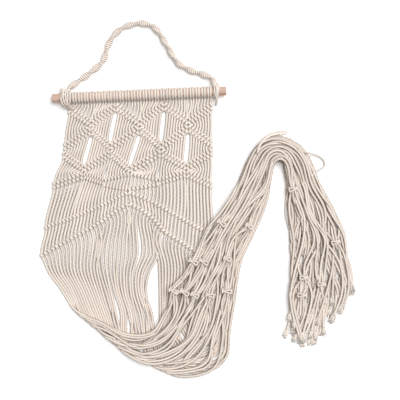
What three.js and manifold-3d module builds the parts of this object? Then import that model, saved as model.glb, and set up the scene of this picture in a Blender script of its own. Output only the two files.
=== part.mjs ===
// Macrame wall hanging, laid out flat on its back: a wooden dowel, a twisted hanger cord, 24 folded
// cords that hang on the dowel by lark's heads, a knotted lattice with open slots, two broad knotted
// chevrons, and a long fringe that sweeps aside, doubles back over itself and ends in a loose tail.
//
// Millimetres. X runs along the dowel, Y points from the fringe to the hanger, Z leaves the wall.
// The origin is on the flat back of the knotted panel, below the middle of the dowel.

import * as THREE from 'three';
import { mergeVertices } from 'three/addons/utils/BufferGeometryUtils.js';
import Module from 'manifold-3d';

const wasm = await Module();
wasm.setup();

// ---------------------------------------------------------------- driving dimensions

const CORD = 5; // cotton cord diameter
const GAP = 0.35; // air between two pieces that touch

const DOWEL_LENGTH = 360;
const DOWEL_RADIUS = 9;
const DOWEL_CHAMFER = 1;
const DOWEL_Y = 20;
const WRAP_RADIUS = DOWEL_RADIUS + CORD; // outside of a cord wound once round the dowel
const DOWEL_Z = WRAP_RADIUS;
const WRAP_BORE = 9.7; // a twelve-sided bore that clears the dowel on its flats
const WRAP_SIDES = 12;

const FOLDED_CORDS = 24;
const CORD_PITCH = 12.1; // from one folded cord to the next, along the dowel
const FIRST_CORD_X = -133.5;
const HEAD_WIDTH = CORD_PITCH - GAP;

const RIDGE_HALF = 4.5; // half the width of a row of hitches
const RIDGE_TOP = 13; // a hitch is a core cord with a cord wound round it
const FIELD_BOTTOM = 1; // the loose strands between two rows of hitches
const FIELD_TOP = 8;
const SIDE_CLEAR = 2; // a diamond's side corners stop this far from its neighbours' middle line
const SLOT_HALF = 3.5; // half the width of an open slot
const SLOT_SHARE = 0.64; // of a diamond's height

const SINNET_WIDE = 17; // the hanger is a flat braid of half knots that twists as it goes
const SINNET_THICK = 10;
const SINNET_HALF_TURN = 37; // length of half a twist
const SINNET_STEPS = 66;
const SINNET_Z = 8.8;
const SINNET_END = 0.55; // share of its section that the braid has at the two knots
const SINNET_TAPER = 22; // length over which it fills out

const LANES = 4; // bundles side by side in each third of the fringe
const LANE_AREA = 100; // section of a bundle of four cords, in square millimetres
const LANE_STEPS = 2; // rings for each gate that a bundle passes

const COTTON = new THREE.MeshStandardMaterial({ color: 0xe8e0d2, roughness: 0.95, metalness: 0 });
const WOOD = new THREE.MeshStandardMaterial({ color: 0xe6bb94, roughness: 0.6, metalness: 0 });

const hanging = new THREE.Group();

function add(name, geometry, material = COTTON) {
  const mesh = new THREE.Mesh(geometry, material);
  mesh.name = name;
  hanging.add(mesh);
  return mesh;
}

// ---------------------------------------------------------------- solids

// A closed body through rings of points, each ring convex and with the same number of points.
function loft(rings) {
  const sides = rings[0].length;
  const positions = rings.flat().flatMap((p) => [p.x, p.y, p.z]);
  const index = [];
  for (let i = 0; i + 1 < rings.length; i += 1) {
    for (let j = 0; j < sides; j += 1) {
      const a = i * sides + j;
      const b = i * sides + ((j + 1) % sides);
      index.push(a, b, b + sides, a, b + sides, a + sides);
    }
  }
  const last = (rings.length - 1) * sides;
  for (let j = 1; j + 1 < sides; j += 1) {
    index.push(0, j + 1, j, last, last + j, last + j + 1);
  }
  const geometry = new THREE.BufferGeometry();
  geometry.setAttribute('position', new THREE.Float32BufferAttribute(positions, 3));
  geometry.setIndex(index);
  if (signedVolume(geometry) < 0) geometry.setIndex(index.reverse());
  return geometry;
}

function signedVolume(geometry) {
  const position = geometry.getAttribute('position');
  const index = geometry.getIndex();
  const corner = (i) => new THREE.Vector3().fromBufferAttribute(position, index.getX(i));
  let six = 0;
  for (let i = 0; i < index.count; i += 3) {
    six += corner(i).dot(corner(i + 1).cross(corner(i + 2)));
  }
  return six / 6;
}

// A flat plate: its outline in X and Y, its bottom and top in Z, and its holes.
function plate(outline, bottom, top, holes = []) {
  const shape = new THREE.Shape(outline.map(([x, y]) => new THREE.Vector2(x, y)));
  for (const hole of holes) {
    shape.holes.push(new THREE.Path(hole.map(([x, y]) => new THREE.Vector2(x, y))));
  }
  const depth = top - bottom;
  const geometry = new THREE.ExtrudeGeometry(shape, { depth, bevelEnabled: false });
  return geometry.translate(0, 0, bottom);
}

function toSolid(geometry) {
  const bare = geometry.clone();
  bare.deleteAttribute('normal');
  bare.deleteAttribute('uv');
  const merged = mergeVertices(bare, 1e-4);
  return new wasm.Manifold(new wasm.Mesh({
    numProp: 3,
    vertProperties: new Float32Array(merged.getAttribute('position').array),
    triVerts: new Uint32Array(merged.getIndex().array),
  }));
}

function toGeometry(solid) {
  const mesh = solid.getMesh();
  const geometry = new THREE.BufferGeometry();
  geometry.setAttribute('position', new THREE.Float32BufferAttribute(mesh.vertProperties, 3));
  geometry.setIndex(Array.from(mesh.triVerts));
  return geometry;
}

// ---------------------------------------------------------------- dowel

function dowel() {
  const half = DOWEL_LENGTH / 2;
  const profile = [
    [0, -half],
    [DOWEL_RADIUS - DOWEL_CHAMFER, -half],
    [DOWEL_RADIUS, -half + DOWEL_CHAMFER],
    [DOWEL_RADIUS, half - DOWEL_CHAMFER],
    [DOWEL_RADIUS - DOWEL_CHAMFER, half],
    [0, half],
  ];
  const points = profile.map(([r, x]) => new THREE.Vector2(r, x));
  const geometry = new THREE.LatheGeometry(points, 32).rotateZ(-Math.PI / 2);
  add('dowel', geometry, WOOD).position.set(0, DOWEL_Y, DOWEL_Z);
}

// ---------------------------------------------------------------- rings wound round the dowel

// Turns of cord side by side round the dowel, as one ring with a rounded back for each turn.
function wraps(turns, width) {
  const pitch = width / turns;
  const profile = [[WRAP_BORE, -width / 2]];
  for (let turn = 0; turn < turns; turn += 1) {
    const left = -width / 2 + turn * pitch;
    profile.push([WRAP_RADIUS, left + pitch * 0.22], [WRAP_RADIUS, left + pitch * 0.78]);
    if (turn + 1 < turns) profile.push([WRAP_RADIUS - 1.6, left + pitch]);
  }
  profile.push([WRAP_BORE, width / 2], [WRAP_BORE, -width / 2]);
  const points = profile.map(([r, x]) => new THREE.Vector2(r, x));
  return new THREE.LatheGeometry(points, WRAP_SIDES, Math.PI / WRAP_SIDES).rotateZ(Math.PI / 2);
}

function larksHeads() {
  const geometry = wraps(2, HEAD_WIDTH);
  for (let i = 0; i < FOLDED_CORDS; i += 1) {
    const name = `larks_head_${String(i + 1).padStart(2, '0')}`;
    add(name, geometry, COTTON).position.set(FIRST_CORD_X + i * CORD_PITCH, DOWEL_Y, DOWEL_Z);
  }
}

// ---------------------------------------------------------------- hanger

const KNOT_LEFT = { x: -151.8, width: 23.4, turns: 4 };
const KNOT_RIGHT = { x: 157.2, width: 12.4, turns: 3 };

// The route of the braid's middle, from the left knot over the top to the right knot.
const HANGER_ROUTE = [
  [-147, 41, 11], [-132, 50, 9.5], [-100, 72], [-73, 95], [-62, 124], [-49, 146], [-30, 161],
  [-3, 169], [20, 168], [39, 158], [54, 135], [67, 110], [82, 85], [107, 68], [134, 57],
  [148, 49.5, 9.5], [155, 41, 11],
];

function hangerKnots() {
  for (const [name, knot] of [['hanger_knot_left', KNOT_LEFT], ['hanger_knot_right', KNOT_RIGHT]]) {
    add(name, wraps(knot.turns, knot.width), COTTON).position.set(knot.x, DOWEL_Y, DOWEL_Z);
  }
}

function hangerSinnet() {
  const points = HANGER_ROUTE.map(([x, y, z = SINNET_Z]) => new THREE.Vector3(x, y, z));
  const route = new THREE.CatmullRomCurve3(points, false, 'centripetal');
  const length = route.getLength();
  const rings = [];
  for (let i = 0; i <= SINNET_STEPS; i += 1) {
    const along = i / SINNET_STEPS;
    const middle = route.getPointAt(along);
    const ahead = route.getTangentAt(along);
    const side = new THREE.Vector3(ahead.y, -ahead.x, 0).normalize();
    const up = new THREE.Vector3().crossVectors(side, ahead);
    const twist = (Math.PI * along * length) / SINNET_HALF_TURN;
    const wide = side.clone().multiplyScalar(Math.cos(twist)).addScaledVector(up, Math.sin(twist));
    const thick = new THREE.Vector3().crossVectors(ahead, wide);
    const toEnd = Math.min(along, 1 - along) * length;
    const size = Math.min(1, SINNET_END + ((1 - SINNET_END) * toEnd) / SINNET_TAPER) / 2;
    const ring = [];
    for (let corner = 0; corner < 8; corner += 1) {
      const turn = ((corner + 0.5) * Math.PI) / 4;
      const point = middle.clone().addScaledVector(wide, Math.cos(turn) * SINNET_WIDE * size);
      ring.push(point.addScaledVector(thick, Math.sin(turn) * SINNET_THICK * size));
    }
    rings.push(ring);
  }
  add('hanger_sinnet', loft(rings));
}

// ---------------------------------------------------------------- knotted panel

// Each row of hitches zigzags across the panel. A row's points run from left to right.
const ROWS = [
  [[-150, -3], [-102, -37], [-50, -2], [-2, -39], [50, -5], [98, -40], [151, -9]],
  [[-162, -83], [-103, -50], [-66, -85], [-3, -52], [40, -89], [98, -53], [147, -90]],
  [[-165, -97], [-122, -129], [-66, -98], [-27, -134], [40, -102], [90, -134], [147, -104]],
  [[-189, -161], [-123, -142], [-81, -158], [-27, -147], [31, -162], [90, -147], [143, -174]],
];
const TOP_EDGE = DOWEL_Y - WRAP_RADIUS - 0.6;

const CHEVRON_APEX = [-33, -178];
const CHEVRON_FOOT = [-33, -208];
const LEFT_UPPER = [[-70, -192], [-112, -211], [-167, -229], [-209, -243]];
const LEFT_LOWER = [[-221, -309], [-176, -287], [-112, -256], [-71, -231], [-41, -212]];
const RIGHT_UPPER = [[13, -194], [53, -220], [85, -240], [116, -258], [141, -271]];
const RIGHT_LOWER = [[135, -330], [111, -322], [73, -293], [40, -273], [11, -235], [-9, -219]];

// The line beside a zigzag, at a distance: positive is below it, towards the fringe.
function beside(line, distance) {
  return line.map((point, i) => {
    const before = direction(line[Math.max(i - 1, 0)], line[Math.max(i, 1)]);
    const after = direction(line[Math.min(i, line.length - 2)], line[Math.min(i + 1, line.length - 1)]);
    const normal = [before[1] + after[1], -(before[0] + after[0])];
    const share = distance / (1 + before[0] * after[0] + before[1] * after[1]);
    return [point[0] + normal[0] * share, point[1] + normal[1] * share];
  });
}

function direction(from, to) {
  const length = Math.hypot(to[0] - from[0], to[1] - from[1]);
  return [(to[0] - from[0]) / length, (to[1] - from[1]) / length];
}

function crossing(a, b, c, d) {
  const [ux, uy] = [b[0] - a[0], b[1] - a[1]];
  const [vx, vy] = [d[0] - c[0], d[1] - c[1]];
  const share = ((c[0] - a[0]) * vy - (c[1] - a[1]) * vx) / (ux * vy - uy * vx);
  return [a[0] + ux * share, a[1] + uy * share];
}

function knotRows() {
  const lower = beside(ROWS[0], RIDGE_HALF);
  const top = [[-146, TOP_EDGE], [150.5, TOP_EDGE]];
  add('top_knot_band', plate([...top, ...lower.reverse()], 0, RIDGE_TOP));
  ROWS.slice(1).forEach((row, i) => {
    const outline = [...beside(row, -RIDGE_HALF), ...beside(row, RIDGE_HALF).reverse()];
    add(`knot_row_${i + 2}`, plate(outline, 0, RIDGE_TOP));
  });
}

// A slot with pointed ends between the two halves of a diamond's strands.
function slot(top, bottom) {
  const at = (share) => [top[0] + (bottom[0] - top[0]) * share, top[1] + (bottom[1] - top[1]) * share];
  const start = (1 - SLOT_SHARE) / 2;
  const [high, low] = [at(start), at(1 - start)];
  const [upper, lower] = [at(start + SLOT_SHARE / 4), at(1 - start - SLOT_SHARE / 4)];
  return [
    high,
    [upper[0] + SLOT_HALF, upper[1]],
    [lower[0] + SLOT_HALF, lower[1]],
    low,
    [lower[0] - SLOT_HALF, lower[1]],
    [upper[0] - SLOT_HALF, upper[1]],
  ];
}

// The part of a convex outline on one side of the line x = limit.
function clipped(outline, limit, keepAbove) {
  const inside = ([x]) => (keepAbove ? x >= limit : x <= limit);
  return outline.flatMap((point, i) => {
    const next = outline[(i + 1) % outline.length];
    const kept = inside(point) ? [point] : [];
    if (inside(point) === inside(next)) return kept;
    return [...kept, crossing(point, next, [limit, 0], [limit, 1])];
  });
}

// The strands between two rows of hitches: diamonds, and half diamonds at the panel's edges.
function strandFields(upperRow, lowerRow, firstTop, names) {
  const clear = RIDGE_HALF + GAP;
  const upper = beside(ROWS[upperRow], clear);
  const lower = beside(ROWS[lowerRow], -clear);
  names.forEach(([name, open], n) => {
    const i = firstTop + 2 * n;
    let outline = [upper[i], lower[i]];
    if (i > 0) {
      const side = crossing(upper[i], upper[i - 1], lower[i], lower[i - 1]);
      outline = clipped([upper[i], side, lower[i]], upper[i - 1][0] + SIDE_CLEAR, true);
    }
    if (i + 1 < upper.length) {
      const side = crossing(upper[i], upper[i + 1], lower[i], lower[i + 1]);
      const right = [lower[i], side, upper[i]];
      outline.push(...clipped(right, upper[i + 1][0] - SIDE_CLEAR, false).slice(1, -1));
    }
    const holes = open ? [slot(upper[i], lower[i])] : [];
    add(name, plate(outline, FIELD_BOTTOM, FIELD_TOP, holes));
  });
}

// The dense middle diamond, and the straight strands on either side of it down to the chevrons.
function lowerPanel() {
  const centre = [[-27, -154.5], [-76, -166], [-33, -176.5], [25, -170]];
  add('centre_diamond', plate(centre, FIELD_BOTTOM, RIDGE_TOP));
  const above = (line) => line.map(([x, y]) => [x, y + 2 * GAP]);
  const left = [[-187, -167], [-123, -149], [-83, -166], [-74, -168.2], [-40, -177.3],
    ...above(LEFT_UPPER), [-201, -200]];
  add('strand_field_left', plate(left, FIELD_BOTTOM, FIELD_TOP));
  const right = [[140, -183], [90, -154.5], [33, -170.5], [-24, -177.3], ...above(RIGHT_UPPER)];
  add('strand_field_right', plate(right, FIELD_BOTTOM, FIELD_TOP));
}

function chevronOutline(side) {
  const shift = side * GAP / 2;
  const upper = side < 0 ? LEFT_UPPER : RIGHT_UPPER;
  const lower = side < 0 ? LEFT_LOWER : RIGHT_LOWER;
  const apex = [CHEVRON_APEX[0] + shift, CHEVRON_APEX[1]];
  return [apex, ...upper, ...lower, [CHEVRON_FOOT[0] + shift, CHEVRON_FOOT[1]]];
}

function chevrons() {
  add('chevron_band_left', plate(chevronOutline(-1), 0, RIDGE_TOP));
  add('chevron_band_right', plate(chevronOutline(1), 0, RIDGE_TOP));
}

// ---------------------------------------------------------------- fringe

// A gate is a line that four bundles cross side by side, from the first bundle's outer edge to the
// last one's: [x, y] of both ends, the height of the bundles' underside, the width of one bundle,
// and how far the middle of the line bows towards +Y.
const LEFT_GATES = [
  [-222, -300, -97, -240, 0, 20, 0],
  [-208, -338, -100, -344, 0, 22, 0],
  [-183, -372, -92, -384, 0, 18, 0],
  [-170, -394, -76, -450, 0, 17, 0],
  [-152, -420, -58, -505, 6.9, 16, 0],
  [-108, -440, -30, -526, 13.8, 16, 0],
  [-45, -472, -8, -538, 14.5, 15, 0],
  [3, -461, 52, -526, 20.3, 16, 0],
  [32, -436, 92, -490, 20.3, 16, 0],
  [50, -408, 114, -448, 20.3, 16, 0],
  [66, -374, 134, -398, 20.3, 16, 0],
  [90, -328, 156, -338, 20.3, 16, 0],
  [124, -270, 188, -276, 20.3, 15, 0],
  [160, -217, 222, -237, 20.3, 15, 0],
];
const MIDDLE_GATES = [
  [-97, -238, 25, -246, 0, 24, 30],
  [-101, -285, 28, -285, 0, 22, 0],
  [-106, -312, 29, -312, 0, 22, 0],
  [-100, -346, 7, -345, 0, 22, 0],
  [-92, -384, -1, -386, 0, 20, 0],
  [-78, -430, 6, -434, 0, 18, 0],
  [-72, -468, 16, -500, 0, 16, 0],
  [-60, -505, 42, -562, 6.9, 18, 0],
  [-14, -515, 90, -566, 13.8, 18, 0],
  [38, -485, 130, -552, 13.8, 17, 0],
  [74, -436, 150, -496, 13.8, 17, 0],
  [92, -390, 164, -410, 13.8, 16, 0],
  [116, -331, 180, -340, 13.8, 15, 0],
  [142, -270, 206, -278, 13.2, 15, 0],
  [172, -213, 234, -232, 12.8, 15, 0],
];
const RIGHT_GATES = [
  [27, -250, 134, -326, 0, 22, 0],
  [22.5, -333, 128, -352, 0, 22, 0],
  [22, -385, 110, -393, 0, 20, 0],
  [20, -430, 98, -425, 0, 17, 0],
  [24, -501, 94, -440, 0, 15, 0],
  [56, -551, 99, -458, 0, 15, 0],
  [110, -564, 106, -462, 0, 15, 0],
  [152, -542, 116, -450, 0, 14, 0],
  [166, -472, 126, -430, 0, 12, 0],
  [180, -402, 138, -390, 0, 11.5, 0],
  [200, -337, 152, -327, 0, 12.5, 0],
  [225, -277, 168, -268, 0, 14, 0],
  [250, -220, 186, -204, 0, 15, 0],
];
// From the neck on, the three thirds of the fringe lie on each other: the left one on top.
const SHARED_GATES = [
  [203, -155, 260, -178, 14.5, 0],
  [224, -120, 266, -149, 12.5, 0],
  [247, -91, 271, -132, 11.5, 0],
  [281, -81, 284, -125, 11, 0],
  [314, -92, 292, -130, 11, 0],
  [341, -120, 295, -148, 13, 0],
  [368, -178, 297, -190, 17, 0],
  [393, -240, 300, -244, 20, 0],
  [413, -292, 302, -296, 21, 0],
  [419, -346, 300, -354, 21, 0],
  [423, -396, 294, -408, 21, -4],
  [404, -446, 284, -468, 21, -26],
];
const LAYER_GAP = 0.6;

function sharedGates(layer, turned) {
  return SHARED_GATES.map(([ax, ay, bx, by, width, bow]) => {
    const z = layer * (Math.max(LANE_AREA / width, CORD) + LAYER_GAP);
    return turned ? [bx, by, ax, ay, z, width, bow] : [ax, ay, bx, by, z, width, bow];
  });
}

// One bundle of the four: a flat hexagon that follows its lane through the gates.
function bundle(gates, lane, grow) {
  const share = (lane + 0.5) / LANES;
  const middles = gates.map(([ax, ay, bx, by, z, , bow]) => {
    const lift = bow * (1 - (2 * share - 1) ** 2);
    return new THREE.Vector3(ax + (bx - ax) * share, ay + (by - ay) * share + lift, z);
  });
  const route = new THREE.CatmullRomCurve3(middles, false, 'centripetal');
  const spans = gates.length - 1;
  const rings = [];
  for (let i = 0; i <= spans * LANE_STEPS; i += 1) {
    const t = i / (spans * LANE_STEPS);
    const gate = Math.min(Math.floor(t * spans), spans - 1);
    const width = THREE.MathUtils.lerp(gates[gate][5], gates[gate + 1][5], t * spans - gate);
    const middle = route.getPoint(t);
    const ahead = route.getTangent(t);
    const side = new THREE.Vector3(ahead.y, -ahead.x, 0).normalize();
    const height = Math.max(LANE_AREA / width, CORD);
    const bottom = Math.max(middle.z, 0) - grow;
    const top = Math.max(middle.z, 0) + height + grow;
    const half = width / 2 + grow;
    const at = (across, z) => {
      const point = middle.clone().addScaledVector(side, across);
      return point.setZ(z);
    };
    rings.push([
      at(-half, (bottom + top) / 2), at(-half * 0.75, bottom), at(half * 0.75, bottom),
      at(half, (bottom + top) / 2), at(half * 0.75, top), at(-half * 0.75, top),
    ]);
  }
  return loft(rings);
}

// Where a bundle would meet what was laid before it, it gives way to it.
function fringe() {
  const fixed = [-1, 1].map((side) => {
    const below = chevronOutline(side).map(([x, y]) => [x, y - GAP]);
    return toSolid(plate(below, -1, RIDGE_TOP + GAP));
  });
  const laid = [...fixed];
  const thirds = [
    ['fringe_left', [...LEFT_GATES, ...sharedGates(2, false)]],
    ['fringe_middle', [...MIDDLE_GATES, ...sharedGates(1, false)]],
    ['fringe_right', [...RIGHT_GATES, ...sharedGates(0, true)]],
  ];
  for (const [name, gates] of thirds) {
    for (let lane = 0; lane < LANES; lane += 1) {
      let solid = toSolid(bundle(gates, lane, 0));
      for (const other of laid) solid = solid.subtract(other);
      const pieces = solid.decompose();
      pieces.sort((a, b) => b.volume() - a.volume());
      add(`${name}_${lane + 1}`, toGeometry(pieces[0]));
      laid.push(toSolid(bundle(gates, lane, GAP)));
    }
  }
}

dowel();
larksHeads();
hangerKnots();
hangerSinnet();
knotRows();
strandFields(0, 1, 0, [
  ['strands_upper_left', false], ['diamond_upper_left', true],
  ['diamond_upper_right', true], ['strands_upper_right', false],
]);
strandFields(1, 2, 1, [
  ['diamond_middle_left', true], ['diamond_middle', true], ['diamond_middle_right', true],
]);
strandFields(2, 3, 0, [
  ['strands_lower_left', false], ['diamond_lower_left', false],
  ['diamond_lower_right', false], ['strands_lower_right', false],
]);
lowerPanel();
chevrons();
fringe();

export default hanging;
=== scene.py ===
"""The look of a cotton macrame wall hanging that lies flat with its fringe swept aside.

Lengths are in millimetres, in the CAD frame, until a mesh is made. Every cord is a three-ply tube."""

import math

import bpy
import numpy as np
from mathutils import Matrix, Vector, kdtree


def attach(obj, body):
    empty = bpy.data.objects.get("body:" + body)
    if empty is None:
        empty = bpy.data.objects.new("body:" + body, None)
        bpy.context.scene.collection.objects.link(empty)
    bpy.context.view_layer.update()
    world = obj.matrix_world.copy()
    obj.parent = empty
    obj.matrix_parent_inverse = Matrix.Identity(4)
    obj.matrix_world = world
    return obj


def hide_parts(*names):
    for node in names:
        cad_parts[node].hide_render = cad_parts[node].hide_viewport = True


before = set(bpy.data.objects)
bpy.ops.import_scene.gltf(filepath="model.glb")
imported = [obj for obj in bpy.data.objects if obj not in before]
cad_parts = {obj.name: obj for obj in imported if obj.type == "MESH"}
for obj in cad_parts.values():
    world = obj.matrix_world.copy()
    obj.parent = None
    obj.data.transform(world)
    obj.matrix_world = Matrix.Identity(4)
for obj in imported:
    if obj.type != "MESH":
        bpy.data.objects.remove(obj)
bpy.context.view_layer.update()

MM = 0.001
SEED = 20
STRANDS = 48
CORD_R = 2.8
SIDES = 12  # of a cord's tube: four for each of its three plies
PLY_SHAPE = (0.92, 0.98, 1.0, 0.98)  # radius round one ply, from the groove before it
PLY_PAINTED_SHADE = (0.82, 0.96, 1.0, 0.96)  # painted shade round one ply, from the groove before it: 0 is the full painted shade colour, darkest in the grooves between plies
FLANK_SHADE_SLANTS = (0.22, 0.86)  # how far a cord's flank turns up or down, from its darkest painted flank shade to no painted shade
PAINTED_FLANK_SHADE = 0.04  # painted shade on a cord's flanks, where it lies against its neighbours: the least that is left of the crest's colour there
FIBRE_PAINTED_SHADE = 0.85  # the same painted flank shade on a thin fibre
LAY = 24.0  # length of one full turn of the plies
UPRIGHT = 0.05  # a path with less of its direction level counts as upright
STEP = 2.0  # between the rings of a long cord
FINE_STEP = 1.4  # between the rings of a knotted cord


# ---- curves


def spline(points, step, samples=8):
    """An evenly stepped smooth curve through the points."""
    p = np.asarray(points, float)
    gap = np.maximum(np.linalg.norm(np.diff(p, axis=0), axis=1), 1e-6)
    slope = np.diff(p, axis=0) / gap[:, None]
    tangent = np.empty_like(p)
    tangent[0], tangent[-1] = slope[0], slope[-1]
    before, after = gap[:-1, None], gap[1:, None]
    tangent[1:-1] = (slope[:-1] * after + slope[1:] * before) / (before + after)
    t = np.linspace(0, 1, samples, endpoint=False)[None, :, None]
    g = gap[:, None, None]
    a, b = p[:-1, None], p[1:, None]
    ta, tb = tangent[:-1, None] * g, tangent[1:, None] * g
    curve = (
        a * (2 * t**3 - 3 * t**2 + 1)
        + ta * (t**3 - 2 * t**2 + t)
        + b * (3 * t**2 - 2 * t**3)
        + tb * (t**3 - t**2)
    )
    return even(np.vstack([curve.reshape(-1, 3), p[-1]]), step)


def even(points, step):
    """The same line with its points evenly apart."""
    along = lengths(points)
    count = max(3, int(round(along[-1] / step)) + 1)
    at = np.linspace(0, along[-1], count)
    return np.column_stack([np.interp(at, along, points[:, k]) for k in range(3)])


def lengths(points):
    """How far along the line each point lies."""
    gaps = np.linalg.norm(np.diff(points, axis=0), axis=1)
    return np.concatenate([[0], np.cumsum(gaps)])


def bezier(a, b, c, d, count=14):
    """A cubic curve from a to d that b and c draw towards them."""
    t = np.linspace(0, 1, count)[:, None]
    return (
        (1 - t) ** 3 * a + 3 * (1 - t) ** 2 * t * b + 3 * (1 - t) * t**2 * c + t**3 * d
    )


def transported(path):
    """A tangent and a normal that doesn't spin, at each point of a path."""
    tangent = np.gradient(path, axis=0)
    tangent /= np.maximum(np.linalg.norm(tangent, axis=1), 1e-9)[:, None]
    normal = np.array([0.0, 0, 1]) if abs(tangent[0][2]) < 0.9 else np.array([1.0, 0, 0])
    normals = np.empty_like(path)
    for i, t in enumerate(tangent):
        normal = normal - t * (normal @ t)
        normal /= math.sqrt(normal @ normal)
        normals[i] = normal
    return tangent, normals


def sideways(tangent):
    """The level direction across a path at each point; where the path is upright, the last one."""
    level = np.column_stack([tangent[:, 1], -tangent[:, 0], np.zeros(len(tangent))])
    size = np.linalg.norm(level, axis=1)
    last = np.array([1.0, 0, 0])
    for i in range(len(level)):
        if size[i] > UPRIGHT:
            last = level[i] / size[i]
        level[i] = last
    return level


# ---- cord meshes


def added(name, data):
    """A new object in the scene."""
    obj = bpy.data.objects.new(name, data)
    bpy.context.scene.collection.objects.link(obj)
    return obj


class Cords:
    """Tubes that are gathered into one mesh."""

    def __init__(self):
        self.vertices, self.faces = [], []
        self.grooves, self.tones, self.warms = [], [], []
        self.count = 0

    def tube(self, path, radius=CORD_R, tone=0.5, sides=SIDES, turn=0.0, warm=0.0, flanks=None):
        """A closed tube; radius, warm and how light its flanks stay under the painted flank shade may be
        given for each point.
        """
        path = np.asarray(path, float)
        rings = len(path)
        radius = np.broadcast_to(np.asarray(radius, float), (rings,))
        tangent, normal = transported(path)
        side = np.cross(tangent, normal)
        angle = np.arange(sides) * 2 * math.pi / sides
        angle = angle[None] + turn + lengths(path)[:, None] * 2 * math.pi / LAY
        is_fibre = sides != SIDES
        shape = np.ones(sides) if is_fibre else np.resize(PLY_SHAPE, sides)
        reach = radius[:, None] * shape[None]
        ring = (
            path[:, None]
            + (np.cos(angle) * reach)[..., None] * normal[:, None]
            + (np.sin(angle) * reach)[..., None] * side[:, None]
        )
        first = self.count
        i = np.arange(rings - 1)[:, None] * sides
        j = np.arange(sides)[None]
        k = (j + 1) % sides
        quads = np.stack([i + j, i + k, i + k + sides, i + j + sides], -1).reshape(-1, 4)
        ends = [first + np.arange(sides)[::-1], first + (rings - 1) * sides + np.arange(sides)]
        self.vertices.append(ring.reshape(-1, 3))
        self.faces.extend((quads + first).tolist())
        self.faces.extend(e.tolist() for e in ends)
        # Painted shade: each cord is darker in the grooves between its plies.
        ply_shade = np.ones(sides) if is_fibre else np.resize(PLY_PAINTED_SHADE, sides)
        level = sideways(tangent)
        across = np.cos(angle) * (normal * level).sum(1)[:, None]
        across += np.sin(angle) * (side * level).sum(1)[:, None]
        slant = np.sqrt(np.clip(1 - across**2, 0, 1))
        # Painted flank shade: darker where the surface faces sideways, towards the neighbouring cords.
        if flanks is None:
            flanks = FIBRE_PAINTED_SHADE if is_fibre else PAINTED_FLANK_SHADE
        flanks = np.broadcast_to(np.asarray(flanks, float), (rings,))[:, None]
        flank = np.clip((slant - FLANK_SHADE_SLANTS[0]) / (FLANK_SHADE_SLANTS[1] - FLANK_SHADE_SLANTS[0]), flanks, 1)
        self.grooves.append((ply_shade * flank).reshape(-1))
        self.tones.append(np.full(rings * sides, tone))
        self.warms.append(np.repeat(np.broadcast_to(np.asarray(warm, float), (rings,)), sides))
        self.count += rings * sides

    def build(self, name, body, *nodes, material):
        """The mesh object, riding on a body and standing for those nodes."""
        mesh = bpy.data.meshes.new(name)
        vertices = np.vstack(self.vertices) * MM
        mesh.from_pydata(vertices.tolist(), [], self.faces)
        looks = (("groove", self.grooves), ("tone", self.tones), ("warm", self.warms))
        for key, values in looks:
            layer = mesh.attributes.new(key, "FLOAT", "POINT")
            layer.data.foreach_set("value", np.concatenate(values).astype(np.float32))
        mesh.polygons.foreach_set("use_smooth", [True] * len(mesh.polygons))
        mesh.materials.append(material)
        mesh.update()
        obj = added(name, mesh)
        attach(obj, body)
        if nodes:
            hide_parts(*nodes)
        return obj


# ---- materials


COTTON_CREST = (0.945, 0.86, 0.788, 1)
WARM_CREST = (0.95, 0.845, 0.757, 1)
# Painted shade colours for the ply grooves and the cords' flanks; the warmer one paints deeper, browner
# shade.
COTTON_PAINTED_SHADE = (0.32, 0.225, 0.15, 1)
WARM_PAINTED_SHADE = (0.19, 0.11, 0.06, 1)
TONE_SHADES = (0.93, 1.05)  # from the darkest cord to the lightest
SPECK_SHADES = (0.93, 1.04)  # the same within a cord
SPECK_RANGE = (0.3, 0.7)  # of the noise, most of which lies near its middle
FIBRE_SCALE = 900
GRAIN_STRETCH = (12, 260, 260)
GRAIN_DARK = (0.52, 0.32, 0.22, 1)
GRAIN_LIGHT = (0.72, 0.54, 0.46, 1)
GRAIN_RANGE = (0.32, 0.68)


def new_material(name):
    """An empty material, its nodes and links, and its shader."""
    material = bpy.data.materials.new(name)
    material.use_nodes = True
    nodes, links = material.node_tree.nodes, material.node_tree.links
    return material, nodes, links, nodes["Principled BSDF"]


def point_value(nodes, name):
    """A value that each point of a cord's mesh carries."""
    node = nodes.new("ShaderNodeAttribute")
    node.attribute_name = name
    return node.outputs["Fac"]


def mixed(nodes, links, factor, a, b):
    """A colour between two, each a fixed colour or another node's output."""
    node = nodes.new("ShaderNodeMix")
    node.data_type = "RGBA"
    for key, colour in (("A", a), ("B", b)):
        if isinstance(colour, tuple):
            node.inputs[key].default_value = colour
        else:
            links.new(colour, node.inputs[key])
    links.new(factor, node.inputs["Factor"])
    return node.outputs["Result"]


def remapped(nodes, links, value, to, source=(0.0, 1.0)):
    """A value brought from one range to another."""
    node = nodes.new("ShaderNodeMapRange")
    node.inputs["From Min"].default_value, node.inputs["From Max"].default_value = source
    node.inputs["To Min"].default_value, node.inputs["To Max"].default_value = to
    links.new(value, node.inputs["Value"])
    return node.outputs["Result"]


def add_bump(nodes, links, shader, height, strength, distance):
    bump = nodes.new("ShaderNodeBump")
    bump.inputs["Strength"].default_value = strength
    bump.inputs["Distance"].default_value = distance
    links.new(height, bump.inputs["Height"])
    links.new(bump.outputs["Normal"], shader.inputs["Normal"])


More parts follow.
